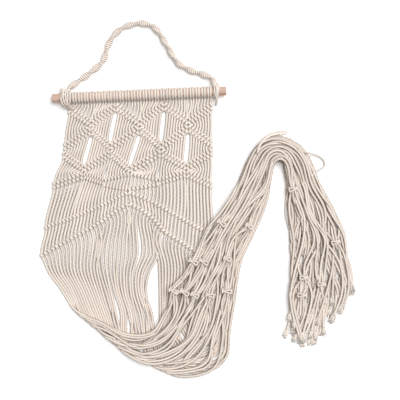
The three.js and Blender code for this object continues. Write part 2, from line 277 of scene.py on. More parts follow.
def cotton():
    """Undyed cotton yarn with painted shade in the grooves between the plies and on the flanks, a little
    uneven, with soft fibres.
    """
    material, nodes, links, shader = new_material("cotton_yarn")
    place = nodes.new("ShaderNodeTexCoord")
    fibre = nodes.new("ShaderNodeTexNoise")
    fibre.inputs["Scale"].default_value = FIBRE_SCALE
    fibre.inputs["Detail"].default_value = 3
    links.new(place.outputs["Object"], fibre.inputs["Vector"])
    warm = point_value(nodes, "warm")
    crest = mixed(nodes, links, warm, COTTON_CREST, WARM_CREST)
    groove = mixed(nodes, links, warm, COTTON_PAINTED_SHADE, WARM_PAINTED_SHADE)
    # The crest colour with the painted shade of ply grooves and flanks mixed in.
    ply = mixed(nodes, links, point_value(nodes, "groove"), groove, crest)
    shades = nodes.new("ShaderNodeMath")
    shades.operation = "MULTIPLY"
    tone = remapped(nodes, links, point_value(nodes, "tone"), TONE_SHADES)
    links.new(tone, shades.inputs[0])
    speck = remapped(nodes, links, fibre.outputs["Fac"], SPECK_SHADES, SPECK_RANGE)
    links.new(speck, shades.inputs[1])
    shaded = nodes.new("ShaderNodeVectorMath")
    shaded.operation = "SCALE"
    links.new(ply, shaded.inputs[0])
    links.new(shades.outputs["Value"], shaded.inputs["Scale"])
    links.new(shaded.outputs["Vector"], shader.inputs["Base Color"])
    add_bump(nodes, links, shader, fibre.outputs["Fac"], 0.25, 0.0004)
    shader.inputs["Roughness"].default_value = 0.95
    shader.inputs["Specular IOR Level"].default_value = 0.15
    shader.inputs["Sheen Weight"].default_value = 0.15
    return material


def wood():
    """Pale peach wood with its grain along the dowel and rings at its ends."""
    material, nodes, links, shader = new_material("dowel_beech")
    place = nodes.new("ShaderNodeTexCoord")
    stretch = nodes.new("ShaderNodeMapping")
    stretch.inputs["Scale"].default_value = GRAIN_STRETCH
    links.new(place.outputs["Object"], stretch.inputs["Vector"])
    grain = nodes.new("ShaderNodeTexNoise")
    grain.inputs["Scale"].default_value = 1
    grain.inputs["Detail"].default_value = 6
    grain.inputs["Distortion"].default_value = 0.6
    links.new(stretch.outputs["Vector"], grain.inputs["Vector"])
    colour = nodes.new("ShaderNodeValToRGB")
    ends = zip(colour.color_ramp.elements, GRAIN_RANGE, (GRAIN_DARK, GRAIN_LIGHT))
    for element, position, shade in ends:
        element.position = position
        element.color = shade
    links.new(grain.outputs["Fac"], colour.inputs["Fac"])
    links.new(colour.outputs["Color"], shader.inputs["Base Color"])
    add_bump(nodes, links, shader, grain.outputs["Fac"], 0.2, 0.0003)
    shader.inputs["Roughness"].default_value = 0.6
    return material


# ---- knotted panel

DOWEL_Y, DOWEL_Z, DOWEL_R = 20.0, 14.0, 9.0
FIRST_CORD_X, CORD_PITCH = -133.5, 12.1
DOWEL_WRAP_R = 2.45  # of a cord that is drawn tight on the dowel
DOWEL_BLEND = 4.0  # over which a strand changes from panel to dowel
WRAP_SUNK = 0.4  # from the wood to the middle of a wrap, which is pulled flat on it
WRAP_WOOD_REFLECTION = 0.35  # how much of the warmer colour a wrap takes: a painted reflection of the wood under it
WRAP_FLANK_LIGHT = 0.75  # how light a wrap's flanks stay under the painted flank shade: painted lighter, as light wood lies behind them
PAIR_SPREAD = 0.25  # how much further apart a pair's wraps are over the dowel than under it
HEAD_ANGLE, HEAD_POINTS = 285, 30  # degrees that each wrap goes round the dowel
HEAD_SPREAD_POWER = 0.7
BIGHT_HALF, BIGHT_BELOW, BIGHT_Z = 1.5, 8.5, 2.7  # the bend behind a pair, under the dowel
PANEL_TOP = 6.0  # y where the strands leave the dowel
START_BELOW, START_Z = 4.2, 6.6  # where a strand leaves its wrap, under the dowel's edge
START_SINK = 1.5
START_BEND_SHARE, START_BEND = 0.4, 12.0
LEAST_START = 2.0  # between the dowel and the first hitch

# Rows of hitches from left to right. Eight strands cross each of a zigzag's stretches.
STRETCHES = 6
ZIGZAGS = [
    [(-150, -3), (-102, -37), (-50, -2), (-2, -39), (50, -5), (98, -40), (151, -9)],
    [(-162, -83), (-103, -50), (-66, -85), (-3, -52), (40, -89), (98, -53), (147, -90)],
    [(-165, -97), (-122, -129), (-66, -98), (-27, -134), (40, -102), (90, -134), (147, -104)],
    [(-189, -161), (-123, -142), (-81, -158), (-27, -147), (31, -162), (90, -147), (143, -174)],
]
# The two chevrons, each a left and a right ridge that 24 strands cross.
UPPER_CHEVRON = [
    [
        (-209, -248), (-190, -240), (-167, -234), (-144, -226), (-112, -214), (-78, -201),
        (-55, -190), (-33, -181),
    ],
    [
        (-33, -181), (-8, -190), (13, -200), (33, -212), (53, -225), (85, -245), (116, -264),
        (141, -279),
    ],
]
LOWER_CHEVRON = [
    [
        (-220, -306), (-205, -297), (-176, -282), (-143, -265), (-112, -251), (-88, -237),
        (-56, -216), (-32, -204),
    ],
    [
        (-32, -204), (-9, -216), (11, -231), (28, -250), (40, -266), (73, -288), (99, -307),
        (135, -327),
    ],
]

# Under its middle peak the last zigzag's second row drops in a V to the chevrons' apex: each arm's
# first strand and its two ends.
CENTRE_SIDE = 8
CENTRE_ROW = [(16, (-84, -164), (-33, -175)), (24, (-33, -175), (34, -167))]

SLACK = 0.45  # how much thicker a cord is where it lies slack
SLACK_FROM, SLACK_BLEND = -162.0, 15.0  # y where the panel's strands start to lie slack, and over how much
TIGHT_RINGS, TIGHT_GAIN = 9, 2.2  # a cord's steepness, averaged over some rings, draws it tight
HITCH_ACROSS = 2.5  # from the core's middle to the wrap's middle, in the panel's plane
HITCH_DEEP = 2.1  # the same, out of the plane
HITCH_Z = 5.1
HITCH_HALF_TURNS, HITCH_POINTS = (0.25, 4.75), 34  # round the core, from the row's upper side
HITCH_MIDDLE, HITCH_DRIFT_OVER = 2.5, 3.0  # half turns round which a hitch moves along its row
HITCH_GAP = 0.4  # between neighbouring hitches in a row
HITCH_APART = 0.3  # the least distance between one hitch's two turns
ROW_REACH = 6.0  # over which a row's direction is measured
DOUBLE_ROW = 4.1  # from the middle of a zigzag's double row to each of its cores
WRAP_R, CORE_R = 2.4, 1.0  # of the cord in a hitch, and of the core in it
FIELD_Z = 4.0
FIELD_SINK = 1.4  # how soon a strand sinks from a row of hitches to the field's height
BEND_SHARE = 0.44  # the most of a strand's length that a row's own direction carries
LATTICE_BEND, FIELD_BEND = 17.0, 10.0  # how far that direction carries into its strands
FIELD_PITCH = 5.4
SLOT_HALF, CLOSED_HALF = 4.7, 0.4  # from a diamond's middle line to its first strand's edge
SLOT_POWER = 0.6  # how soon a diamond's strands spread to lie side by side
# How far a short slot under the top row parts its strands.
TOP_SLOT = {37: -0.8, 38: -1.7, 39: -3.0, 40: 3.0, 41: 1.7, 42: 0.8}


class Crossing:
    """Where one strand is tied to a row of hitches, and how much of the row it has to itself."""

    def __init__(self, place, along, room):
        self.place = place
        self.room = room
        self.along = along if along[1] < 0 else -along
        self.down = np.array([self.along[1], -self.along[0]])
        if self.down[1] > 0:
            self.down = -self.down

    def wraps(self):
        """Two turns round the core: in under it at the top, out under it at the bottom."""
        turn = np.linspace(*HITCH_HALF_TURNS, HITCH_POINTS) * math.pi
        apart = max(self.room - HITCH_GAP - 2 * WRAP_R, HITCH_APART)
        drift = np.clip((turn / math.pi - HITCH_MIDDLE) / HITCH_DRIFT_OVER, -0.5, 0.5) * apart
        flat = (
            self.place
            + drift[:, None] * self.along
            - (np.cos(turn) * HITCH_ACROSS)[:, None] * self.down
        )
        return np.column_stack([flat, HITCH_Z - np.sin(turn) * HITCH_DEEP])

    def moved(self, distance):
        """The crossing straight below with a row that lies this distance further down."""
        step = np.array([0, distance / self.down[1]])
        return Crossing(self.place + step, self.along, self.room)


def stretches(level):
    """The stretches of one row, as arrays, with how many strands cross each."""
    if isinstance(level[0], list):
        return [(np.array(side, float), STRANDS // 2) for side in level]
    points = np.array(level, float)
    return [(points[i : i + 2], STRANDS // STRETCHES) for i in range(STRETCHES)]


def crossings(level):
    """One crossing for each strand, from left to right."""
    found = []
    for line, count in stretches(level):
        along = lengths(line)
        spacing = along[-1] / count
        for i in range(count):
            at = (i + 0.5) * spacing
            behind, here, ahead = (
                np.array([np.interp(at + step, along, line[:, k]) for k in range(2)])
                for step in (-ROW_REACH, 0.0, ROW_REACH)
            )
            direction = (ahead - behind) / np.linalg.norm(ahead - behind)
            found.append(Crossing(here, direction, spacing))
    return found


def hitched_levels():
    """For each level, and each strand, the crossings that it is tied to, from the top down."""
    levels = []
    for zigzag in ZIGZAGS:
        middles = crossings(zigzag)
        levels.append([[c.moved(-DOUBLE_ROW), c.moved(DOUBLE_ROW)] for c in middles])
    centre = centre_row()
    for tied, below in zip(levels[-1], centre):
        if below:
            tied.pop()
    levels.append(centre)
    upper, lower = crossings(UPPER_CHEVRON), crossings(LOWER_CHEVRON)
    levels.append([[c] for c in upper])
    levels.append([[c] for c in lower])
    return levels


def centre_row():
    """The V above the chevrons' apex, which only the middle strands are tied to."""
    row = [[] for _ in range(STRANDS)]
    for first, a, b in CENTRE_ROW:
        a, b = np.array(a, float), np.array(b, float)
        for i in range(CENTRE_SIDE):
            size = np.linalg.norm(b - a)
            place = a + (b - a) * (i + 0.5) / CENTRE_SIDE
            row[first + i] = [Crossing(place, (b - a) / size, size / CENTRE_SIDE)]
    return row


def field(start, start_down, end, end_down, bend, middle_x=None):
    """Strand between two rows; middle_x gives x at its middle for a strand that isn't free there."""
    distance = np.linalg.norm(end - start)
    reach = min(BEND_SHARE * distance, bend)
    b = start + np.append(start_down * reach, (FIELD_Z - start[2]) * FIELD_SINK)
    c = end - np.append(end_down * reach, (end[2] - FIELD_Z) * FIELD_SINK)
    line = bezier(start, b, c, end)
    if middle_x is not None:
        middle = (line[len(line) // 2 - 1] + line[len(line) // 2]) / 2
        bump = np.sin(np.linspace(0, math.pi, len(line))) ** SLOT_POWER
        line[:, 0] += bump * (middle_x(middle[1]) - middle[0])
    return line[1:-1]


def side_by_side(s, rows):
    """x of a lattice strand at a given y: a diamond's strands lie side by side from its slot out."""
    half = STRANDS // STRETCHES
    block, rank = divmod(s, half)
    zig_up, zig_low = rows
    top_is_left = zig_up[block][1] > zig_up[block + 1][1]
    centre = block if top_is_left else block + 1
    side = 1 if top_is_left else -1
    rank = rank if top_is_left else half - 1 - rank
    top, bottom = np.array(zig_up[centre], float), np.array(zig_low[centre], float)
    is_open = rows[0] is not ZIGZAGS[2] and centre not in (0, STRETCHES)
    near = CORD_R + (SLOT_HALF if is_open else CLOSED_HALF)
    offset = side * (near + rank * FIELD_PITCH)

    def x_at(y):
        share = (top[1] - y) / (top[1] - bottom[1])
        return top[0] + (bottom[0] - top[0]) * share + offset

    return x_at


def top_strand(s, crossing):
    """From the dowel's underside down to the first row of hitches."""
    x = head_x(s, 1.0)
    end = crossing.wraps()[0]
    start = np.array([x, DOWEL_Y - DOWEL_R - START_BELOW, START_Z])
    distance = max(start[1] - end[1], LEAST_START)
    reach = min(START_BEND_SHARE * distance, START_BEND)
    b = start + np.array([0, -reach, -START_SINK])
    c = end - np.append(crossing.down * reach, 0)
    line = bezier(start, b, c, end)[:-1]
    line[:, 0] += TOP_SLOT.get(s, 0) * np.sin(np.linspace(0, math.pi, len(line)))
    return line


def head_x(s, spread):
    """x of a strand at the dowel: spread 0 where a pair is drawn together, 1 where it is even."""
    sign = 1 if s % 2 else -1
    return FIRST_CORD_X + CORD_PITCH * (s // 2) + sign * (DOWEL_WRAP_R + PAIR_SPREAD * spread)


def larks_head(pair):
    """One folded cord's two wraps round the dowel and the bight behind them, from left to right."""
    wrap_r = DOWEL_R + WRAP_SUNK
    sides = []
    for s in (2 * pair, 2 * pair + 1):
        angle = np.radians(np.linspace(0, HEAD_ANGLE, HEAD_POINTS))
        spread = np.sin(np.clip(angle, 0, math.pi)) ** HEAD_SPREAD_POWER
        x = np.array([head_x(s, v) for v in spread])
        y = DOWEL_Y - wrap_r * np.cos(angle)
        z = np.maximum(DOWEL_Z + wrap_r * np.sin(angle), CORD_R + 0.1)
        sides.append(np.column_stack([x, y, z]))
    middle = FIRST_CORD_X + CORD_PITCH * pair
    bight = [(middle + x, DOWEL_Y - BIGHT_BELOW, BIGHT_Z) for x in (-BIGHT_HALF, BIGHT_HALF)]
    return np.vstack([sides[0], bight, sides[1][::-1]])


def panel_strand(s, levels):
    """One strand's line from the dowel to where it leaves the last row of hitches."""
    parts = [top_strand(s, levels[0][s][0])]
    before = None
    for k, level in enumerate(levels):
        for i, crossing in enumerate(level[s]):
            if before is not None and i == 0:
                rows = ZIGZAGS[k - 1 : k + 1]
                middle_x = side_by_side(s, rows) if len(rows) == 2 else None
                begin, end = before.wraps()[-1], crossing.wraps()[0]
                bend = LATTICE_BEND if len(rows) == 2 else FIELD_BEND
                parts.append(field(begin, before.down, end, crossing.down, bend, middle_x))
            parts.append(crossing.wraps())
            before = crossing
    return np.vstack(parts)


def dowel_share(line):
    """1 where a strand is on the dowel, 0 in the panel."""
    return np.clip((line[:, 1] - PANEL_TOP) / DOWEL_BLEND, 0, 1)


def wrap_radius(line):
    """The cord is drawn tight where it moves up and down, which is in the hitches, and on the dowel."""
    rise = np.abs(np.gradient(line[:, 2], lengths(line)))
    tight = np.clip(np.convolve(rise, np.ones(TIGHT_RINGS) / TIGHT_RINGS, "same") * TIGHT_GAIN, 0, 1)
    on_dowel = dowel_share(line)
    slack = SLACK * np.clip((SLACK_FROM - line[:, 1]) / SLACK_BLEND, 0, 1)
    wrap = WRAP_R + slack + (DOWEL_WRAP_R - WRAP_R) * on_dowel
    return CORD_R + slack + (wrap - CORD_R - slack) * np.maximum(tight, on_dowel)


def knotted_panel(material):
    """The folded cords, each with its two strands tied through every row. Gives all the crossings."""
    levels = hitched_levels()
    rng = np.random.default_rng(SEED)
    nodes = panel_nodes()
    for pair in range(STRANDS // 2):
        left = panel_strand(2 * pair, levels)
        right = panel_strand(2 * pair + 1, levels)
        line = np.vstack([left[::-1], larks_head(pair), right])
        line = spline(line, FINE_STEP, samples=4)
        cords = Cords()
        on_dowel = dowel_share(line)
        # Painted flank shade, mostly lifted on the dowel, where the wraps also get a painted reflection of
        # the wood's colour.
        flanks = PAINTED_FLANK_SHADE + (WRAP_FLANK_LIGHT - PAINTED_FLANK_SHADE) * on_dowel
        look = {"tone": rng.uniform(), "turn": rng.uniform(0, 6), "warm": WRAP_WOOD_REFLECTION * on_dowel}
        cords.tube(line, wrap_radius(line), flanks=flanks, **look)
        stands_for = [f"larks_head_{pair + 1:02d}"]
        if pair == 0:
            stands_for += nodes
        cords.build(f"folded_cord_{pair + 1:02d}", "panel", *stands_for, material=material)
    return levels


def panel_nodes():
    """The CAD's solids of the knotted panel, which the folded cords stand for together."""
    skip = ("larks_head", "fringe", "hanger", "dowel")
    return [n for n in sorted(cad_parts) if not n.startswith(skip)]


def unbroken(level, row):
    """The places of one row's crossings, a list for each run of neighbouring strands."""
    runs = [[]]
    for tied in level:
        if len(tied) > row:
            runs[-1].append(tied[row].place)
        elif runs[-1]:
            runs.append([])
    return [run for run in runs if run]


def cores(levels, material):
    """The core cords inside the rows of hitches."""
    cords = Cords()
    for level in levels:
        for row in range(max(len(tied) for tied in level)):
            for places in unbroken(level, row):
                points = np.column_stack([places, np.full(len(places), HITCH_Z)])
                cords.tube(spline(points, STEP), CORE_R, tone=0.4)
    cords.build("core_cords", "panel", material=material)


# ---- fringe

# Gates that the three thirds of the fringe pass: both ends of a line [x, y, x, y], the height of
# their underside, the width of a quarter of them, and how far the line's middle bows.
LEFT_GATES = [
    (-208, -338, -100, -344, 0, 22, 0),
    (-183, -372, -92, -384, 0, 18, 0),
    (-170, -394, -76, -450, 0, 17, 0),
    (-152, -420, -58, -505, 6.9, 16, 0),
    (-108, -440, -30, -526, 13.8, 16, 0),
    (-45, -472, -8, -538, 14.5, 15, 0),
    (3, -461, 52, -526, 20.3, 16, 0),
    (32, -436, 92, -490, 20.3, 16, 0),
    (50, -408, 114, -448, 20.3, 16, 0),
    (66, -374, 134, -398, 20.3, 16, 0),
    (90, -328, 156, -338, 20.3, 16, 0),
    (124, -270, 188, -276, 20.3, 15, 0),
    (160, -217, 222, -237, 20.3, 15, 0),
]
MIDDLE_GATES = [
    (-101, -285, 28, -285, 0, 22, 0),
    (-106, -312, 29, -312, 0, 22, 0),
    (-100, -346, 7, -345, 0, 22, 0),
    (-92, -384, -1, -386, 0, 20, 0),
    (-78, -430, 6, -434, 0, 18, 0),
    (-72, -468, 16, -500, 0, 16, 0),
    (-60, -505, 42, -562, 6.9, 18, 0),
    (-14, -515, 90, -566, 13.8, 18, 0),
    (38, -485, 130, -552, 13.8, 17, 0),
    (74, -436, 150, -496, 13.8, 17, 0),
    (92, -390, 164, -410, 13.8, 16, 0),
    (116, -331, 180, -340, 13.8, 15, 0),
    (142, -270, 206, -278, 13.2, 15, 0),
    (172, -213, 234, -232, 12.8, 15, 0),
]
RIGHT_GATES = [
    (22.5, -333, 128, -352, 0, 22, 0),
    (22, -385, 110, -393, 0, 20, 0),
    (20, -430, 98, -425, 0, 17, 0),
    (24, -501, 94, -440, 0, 15, 0),
    (56, -551, 99, -458, 0, 15, 0),
    (110, -564, 106, -462, 0, 15, 0),
    (152, -542, 116, -450, 0, 14, 0),
    (166, -472, 126, -430, 0, 12, 0),
    (180, -402, 138, -390, 0, 11.5, 0),
    (200, -337, 152, -327, 0, 12.5, 0),
    (225, -277, 168, -268, 0, 14, 0),
    (250, -220, 186, -204, 0, 15, 0),
]
# The gates that all three pass, one on another, so without a height.
SHARED_GATES = [
    (203, -155, 260, -178, 14.5, 0),
    (224, -120, 266, -149, 12.5, 0),
    (247, -91, 271, -132, 11.5, 0),
    (281, -81, 284, -125, 11, 0),
    (314, -92, 292, -130, 11, 0),
    (341, -120, 295, -148, 13, 0),
    (368, -178, 297, -190, 17, 0),
    (393, -240, 300, -244, 20, 0),
    (413, -292, 302, -296, 21, 0),
    (419, -346, 300, -354, 21, 0),
    (423, -396, 294, -408, 21, -4),
    (404, -446, 284, -468, 21, -26),
]
LANE_AREA = 100.0  # of a quarter of a third, cut across: its width times its height
LAYER_GAP = 0.6
THIRD = STRANDS // 3
BUNDLE = 4  # cords that one CAD solid stands in for
NODE_SPACING = 5.0  # between the points of a fringe cord while it settles
FRINGE_STEP = 2.4
EXIT_STEP, EXIT_RISE = 4, 0.3  # a cord's first move out of its last hitch
SLACK_OVER = 75.0  # the fringe's cords are slack over this length
LAST_SLACK = 0.6  # and this much of that remains after it
FLANK_LIFT_OVER, FLANK_LIFT = 110.0, 0.45  # towards its end a cord's painted flank shade is lifted by this much, over this length
WARM_AFTER = 280.0  # a fringe cord takes its warmer colour, with deeper painted shade on its flanks and in its ply grooves, over this length
WARM_LEAST = 0.45

LOCK = 3  # neighbouring cords that cling together
LOCK_DRIFT, CORD_DRIFT = 2.1, 1.2  # how far a lock and a cord in it wander, in cords
LOCK_OPEN = 0.72  # the share of their spacing that a lock's cords keep
DRIFT_WAVES = ((330, 0.55), (190, 0.45), (105, 0.3))  # length and weight
MESS_FROM, MESS_OVER = 40, 200  # where along the fringe its cords lose their order
MESS_ROOM = 3.0  # how much further up and down they wander there
LIFT_LENGTH = 55  # of the rise and fall, for each radian
# How far a slit below the chevrons parts the strands, and its reach along them.
PARTED = {24: -0.3, 25: -0.8, 26: -1.7, 27: 1.7, 28: 0.8, 29: 0.3}
PARTED_REACH = 45.0
ENDS = (-34.0, 24.0)  # how far the cords' ends run short of the last gate or past it
RIGHT_SHORT = 52.0  # how much shorter the cords at the tail's right edge are
RIGHT_FROM, RIGHT_OVER = 345, 55  # x over which they grow shorter

ROUNDS, QUICK_ROUNDS = 22, 6
CLOSE = 0.97  # how near two cords' middles may come, in diameters
CORD_PUSH, FIXED_PUSH = 0.3, 0.6  # the share of an overlap that each round takes away
MOST_PUSH = 1.2
SIDEWAYS_PUSH = 0.6
SINK = 0.25  # towards the table in each round
HOME_PULL = 0.08
SMOOTHING = 0.3
HELD_NODES = 2  # after its first, that a cord keeps in place at its exit
NEXT_NODES = 4  # a cord's points nearer than this don't push each other
TABLE_GAP = 0.05

# Square knots that net the fringe together: x, y.
NET_KNOTS = [
    (158, -252), (167, -326), (118, -330), (97, -329), (54, -387), (76, -391), (97, -398),
    (128, -399), (163, -393), (215, -261), (309, -189), (323, -372), (318, -408), (359, -387),
    (392, -302),
]
FIRST_KNOT = 150  # from a cord's start to the first place where it may be knotted
KNOT_REACH = 20.0  # a cord starts to bend towards a knot this far before it
KNOT_HOLDS = [(-4.4, 0.0), (0.0, 0.0), (4.4, 0.0), (-2.4, 4.2), (2.4, 4.2)]  # across and up
KNOT_RISE = 2.2  # of its middle over the cords that it holds
KNOT_WIDE, KNOT_HIGH = 8.0, 6.0
KNOT_WIDTHS = (0.8, 1.15)
KNOT_PITCH, KNOT_SLANT = 4.4, 1.6
KNOT_TONES, KNOT_WARM = (0, 0.6), 0.5
BIGHT_IN, BIGHT_BOW = 1.5, 2.0  # of a knot's end bends, from its width
BIGHT_LONG, BIGHT_UP, BIGHT_THIN = 1.1, 0.75, 0.9  # shares of its pitch, height and thickness

# Thin strands that bow out of the bundle, and a short cord end.
STRAYS = {
    "stray_strand_right": [
        (318, -112, 24), (332, -113, 22), (350, -117, 12), (368, -124, 5), (377, -134, 4),
        (377, -144, 4), (368, -150, 6), (356, -156, 14), (348, -166, 18),
    ],
    "stray_strand_left": [
        (302, -168, 16), (299, -190, 12), (294, -214, 5), (292, -240, 3), (296, -264, 3),
        (303, -285, 6), (309, -300, 10),
    ],
}
STRAY_R = 1.5
LOOSE_END_R = 4.2
LOOSE_END = [
    (238, -112, 29), (242, -99, 30), (250, -88, 26), (261, -79, 18), (274, -74, 10), (286, -72, 6),
]

WISPS = 90
WISP_X, WISP_Y = (318, 372), (-445, -352)
WISP_R, WISP_UP, WISP_STEP, WISP_POINTS = 0.45, 0.4, 4.5, 7
WISP_FAN, WISP_CURL = 0.7, 0.35  # radians, at its start and at each point

TUFT_FIBRES, LOOSE_FIBRES = 40, 50
TUFT_POINTS = 6
TUFT_REACH = (10, 24)
TUFT_BACK = 5  # how far inside the cord's end its fibres start
TUFT_START, TUFT_FAN = 2.1, 3.8  # how far out a fibre lies at its start, and how far it spreads
TUFT_FANS = (0.3, 1.0)
TUFT_CURL = (-1.5, 3.0)
TUFT_CLOSE, TUFT_DROP = 0.4, 0.35  # how far a tuft flattens, and sinks towards the table
TUFT_LOWEST = 1.4
TUFT_THICK = (1.3, 0.5)
# How light a tuft's fibres stay under the painted flank shade, which is almost lifted on them.
TUFT_FLANKS = 0.95


def shared_gates(layer, turned):
    """The shared gates for one third; a turned one lies the other way up, with its ends swapped."""
    gates = []
    for ax, ay, bx, by, width, bow in SHARED_GATES:
        z = layer * (max(LANE_AREA / width, 2 * CORD_R) + LAYER_GAP)
        ends = (bx, by, ax, ay) if turned else (ax, ay, bx, by)
        gates.append((*ends, z, width, bow))
    return gates


def wander(rng, along):
    """A smooth sideways drift along a cord."""
    total = np.zeros_like(along)
    for wavelength, weight in DRIFT_WAVES:
        phase = rng.uniform(0, 2 * math.pi)
        total += weight * np.sin(2 * math.pi * along / wavelength + phase)
    return total


def fringe_line(s, gates, exit_point, exit_down, lock_rng, rng):
    """A first guess at one fringe cord's line, before it settles."""
    ax, ay, bx, by, z, width, bow = (np.array(v, float) for v in zip(*gates))
    middle = np.column_stack([(ax + bx) / 2, (ay + by) / 2])
    along = lengths(middle)
    mess = np.clip((along - MESS_FROM) / MESS_OVER, 0, 1)
    rank = s % THIRD
    lock_middle = (rank // LOCK) * LOCK + (LOCK - 1) / 2
    drawn = (lock_middle - rank) * (1 - LOCK_OPEN) * mess
    drift = (wander(lock_rng, along) * LOCK_DRIFT + wander(rng, along) * CORD_DRIFT) * mess
    share = np.clip((rank + 0.5 + drawn + drift) / THIRD, 0.0, 1.0)
    x = ax + (bx - ax) * share
    y = ay + (by - ay) * share + bow * (1 - (2 * share - 1) ** 2)
    x += PARTED.get(s, 0) * np.exp(-((along / PARTED_REACH) ** 2))
    room = np.maximum(LANE_AREA / width - 2 * CORD_R, 0) + MESS_ROOM * mess
    lift = 0.5 + 0.5 * np.sin(along / LIFT_LENGTH + rng.uniform(0, 2 * math.pi))
    gate_points = np.column_stack([x, y, z + CORD_R + room * lift])
    out = exit_point + np.append(exit_down * EXIT_STEP, EXIT_RISE)
    line = spline(np.vstack([exit_point, out, gate_points]), NODE_SPACING)
    shorter = np.clip((line[-1][0] - RIGHT_FROM) / RIGHT_OVER, 0, 1)
    run = rng.uniform(*ENDS) - RIGHT_SHORT * shorter
    if run < 0:
        return line[: int(run / NODE_SPACING) or None]
    way = line[-1] - line[-3]
    way /= np.linalg.norm(way)
    more = np.arange(1, int(run / NODE_SPACING) + 1)[:, None] * NODE_SPACING
    return np.vstack([line, line[-1] + more * way])


def tie(lines):
    """Draws the cords nearest to each net knot into it. Gives the knots, and which points they hold."""
    held = [np.zeros(len(line), bool) for line in lines]
    knots = []
    for place in NET_KNOTS:
        found = []
        for s, line in enumerate(lines):
            skip = FIRST_KNOT // int(NODE_SPACING)
            gaps = np.linalg.norm(line[skip:, :2] - place, axis=1)
            i = int(gaps.argmin())
            if not held[s][skip + i]:
                found.append((gaps[i] - line[skip + i, 2], s, skip + i))
        found = sorted(found)[: len(KNOT_HOLDS)]
        way = sum(lines[s][min(i + 2, len(lines[s]) - 1)] - lines[s][i - 2] for _, s, i in found)
        way = np.array([way[0], way[1], 0]) / np.linalg.norm(way[:2])
        across = np.array([way[1], -way[0], 0])
        base = np.append(place, np.mean([lines[s][i, 2] for _, s, i in found]))
        found.sort(key=lambda one: (lines[one[1]][one[2]] - base) @ across)
        for (sideways_by, up), (_, s, i) in zip(sorted(KNOT_HOLDS), found):
            target = base + sideways_by * across + np.array([0, 0, up])
            distance = (np.arange(len(lines[s])) - i) * NODE_SPACING
            pull = np.exp(-((distance / KNOT_REACH) ** 2))
            lines[s] += pull[:, None] * (target - lines[s][i])
            held[s] |= np.abs(distance) < 1.5 * NODE_SPACING
        knots.append((base + np.array([0, 0, KNOT_RISE]), way, across))
    return knots, held


def settle(lines, held, fixed, rounds):
    """Cords that lie in each other move apart, sink towards the table and stay smooth."""
    owner = np.concatenate([np.full(len(line), i) for i, line in enumerate(lines)])
    index = np.concatenate([np.arange(len(line)) for line in lines])
    place = np.vstack(lines)
    home = place.copy()
    bounds = np.cumsum([0] + [len(line) for line in lines])
    free = (index > HELD_NODES) & ~np.concatenate(held)
    near = 2 * CORD_R * CLOSE
    for _ in range(rounds):
        push = pushes(place, np.vstack([place, fixed]), owner, near)
        push[:, :2] *= SIDEWAYS_PUSH
        size = np.linalg.norm(push, axis=1)
        push *= np.minimum(1, MOST_PUSH / np.maximum(size, 1e-9))[:, None]
        place[free] += push[free]
        place[free, 2] -= SINK
        place[free, :2] += HOME_PULL * (home[free, :2] - place[free, :2])
        for a, b in zip(bounds[:-1], bounds[1:]):
            soft = place[a:b].copy()
            soft[1:-1] += SMOOTHING * ((soft[:-2] + soft[2:]) / 2 - soft[1:-1])
            moves = free[a:b]
            place[a:b][moves] = soft[moves]
        place[:, 2] = np.maximum(place[:, 2], CORD_R + TABLE_GAP)
    return [place[a:b] for a, b in zip(bounds[:-1], bounds[1:])]


def pushes(place, everything, owner, near):
    """How far overlaps push each point. After the cords' own points, everything has fixed ones."""
    tree = kdtree.KDTree(len(everything))
    for i, p in enumerate(everything):
        tree.insert(p, i)
    tree.balance()
    push = np.zeros_like(place)
    for i, p in enumerate(place):
        for _, j, distance in tree.find_range(p, near):
            if j < len(place) and (j <= i or (owner[i] == owner[j] and abs(i - j) < NEXT_NODES)):
                continue
            apart = everything[i] - everything[j]
            if distance < 1e-6:
                apart = np.array([0, 0, 1.0])
                distance = 1.0
            move = apart / distance * (near - distance)
            if j < len(place):
                push[i] += CORD_PUSH * move
                push[j] -= CORD_PUSH * move
            else:
                push[i] += FIXED_PUSH * move
    return push


def net_knots(knots, rng, material):
    """The square knots: two slanting turns that cross, between two upright bights."""
    cords = Cords()
    up = np.array([0, 0, 1.0])
    angle = np.linspace(0, 2 * math.pi, 30)
    bight = np.linspace(-math.pi / 2, math.pi / 2, 10)
    for middle, way, across in knots:
        wide = KNOT_WIDE * rng.uniform(*KNOT_WIDTHS)
        for turn in (-1, 1):
            along = turn * (KNOT_PITCH / 2 + KNOT_SLANT * np.cos(angle))
            line = middle + along[:, None] * way + (np.cos(angle) * wide)[:, None] * across
            line += (np.sin(angle) * KNOT_HIGH)[:, None] * up
            line[:, 2] = np.maximum(line[:, 2], WRAP_R)
            tone = rng.uniform(*KNOT_TONES)
            cords.tube(spline(line, FINE_STEP), WRAP_R, tone=tone, warm=KNOT_WARM)
            reach = wide - BIGHT_IN + BIGHT_BOW * np.cos(bight)
            line = middle + (np.sin(bight) * KNOT_PITCH * BIGHT_LONG)[:, None] * way
            line += (turn * reach)[:, None] * across + (KNOT_HIGH * BIGHT_UP) * up
            tone = rng.uniform(*KNOT_TONES)
            cords.tube(spline(line, FINE_STEP), WRAP_R * BIGHT_THIN, tone=tone, warm=KNOT_WARM)
    cords.build("net_knots", "panel", material=material)


